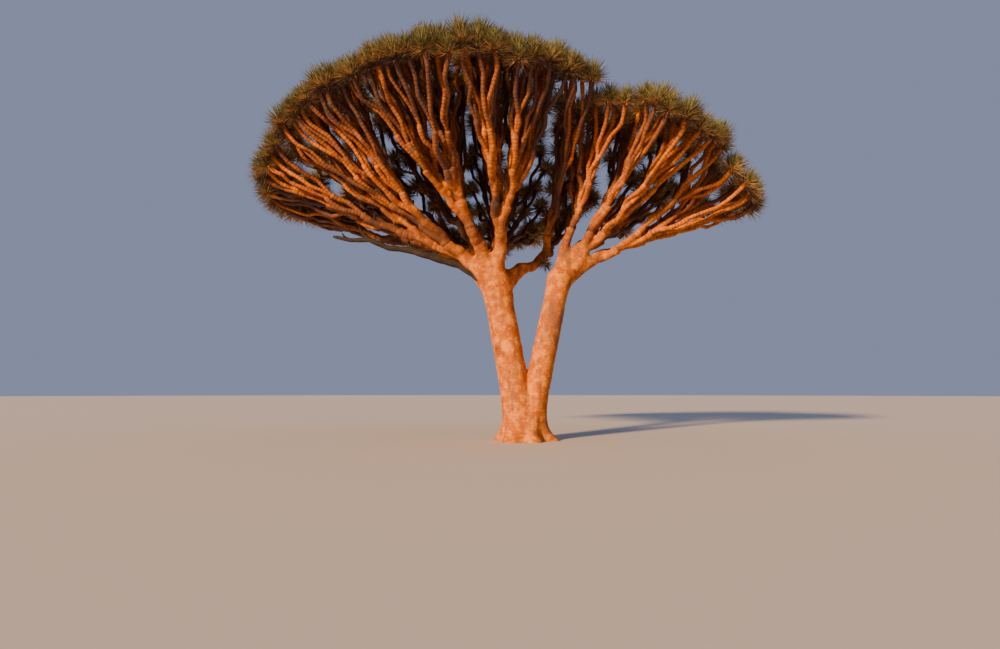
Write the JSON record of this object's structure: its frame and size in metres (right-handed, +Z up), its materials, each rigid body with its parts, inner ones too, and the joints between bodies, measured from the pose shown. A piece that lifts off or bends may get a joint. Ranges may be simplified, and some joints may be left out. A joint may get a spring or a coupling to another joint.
{
  "type": "dragon blood tree",
  "caption": "Umbrella-crowned tree with two leaning stems from one flared foot, forking boughs, bursts of sword leaves and one long bare dead limb.",
  "frame": {"origin": "middle of the flat cut at ground level, under the foot of the two stems", "axes": "+Z up; +X to the right as the picture shows the tree, towards the smaller crown; +Y away from the viewer"},
  "size_m": [10.3657, 7.2659, 7.59],
  "materials": {
    "bark": "rough, mottled tan and grey, with dark ring scars",
    "dead_bark": "rough, weathered dark grey-brown",
    "foliage": "olive green sword leaves, drier and yellower towards their tips"
  },
  "bodies": {
    "root": {"trunk_foot": "bark", "left_stem": "bark", "right_stem": "bark", "left_dead_limb": "dead_bark", "left_bough_1": "bark", "left_bough_2": "bark", "left_bough_3": "bark", "left_bough_4": "bark", "left_bough_5": "bark", "left_bough_6": "bark", "left_bough_7": "bark", "left_limb_1a": "bark", "left_limb_1b": "bark", "left_limb_2a": "bark", "left_limb_2b": "bark", "left_limb_3a": "bark", "left_limb_3b": "bark", "left_limb_4a": "bark", "left_limb_4b": "bark", "left_limb_5a": "bark", "left_limb_5b": "bark", "left_limb_6a": "bark", "left_limb_6b": "bark", "left_limb_7a": "bark", "left_limb_7b": "bark", "left_mass_1a": "foliage", "left_mass_1b": "foliage", "left_mass_2a": "foliage", "left_mass_2b": "foliage", "left_mass_3a": "foliage", "left_mass_3b": "foliage", "left_mass_4a": "foliage", "left_mass_4b": "foliage", "left_mass_5a": "foliage", "left_mass_5b": "foliage", "left_mass_6a": "foliage", "left_mass_6b": "foliage", "left_mass_7a": "foliage", "left_mass_7b": "foliage", "right_bough_1": "bark", "right_bough_2": "bark", "right_bough_3": "bark", "right_bough_4": "bark", "right_limb_1a": "bark", "right_limb_1b": "bark", "right_limb_2a": "bark", "right_limb_2b": "bark", "right_limb_3a": "bark", "right_limb_3b": "bark", "right_limb_4a": "bark", "right_limb_4b": "bark", "right_mass_1a": "foliage", "right_mass_1b": "foliage", "right_mass_2a": "foliage", "right_mass_2b": "foliage", "right_mass_3a": "foliage", "right_mass_3b": "foliage", "right_mass_4a": "foliage", "right_mass_4b": "foliage"}
  },
  "joints": []
}
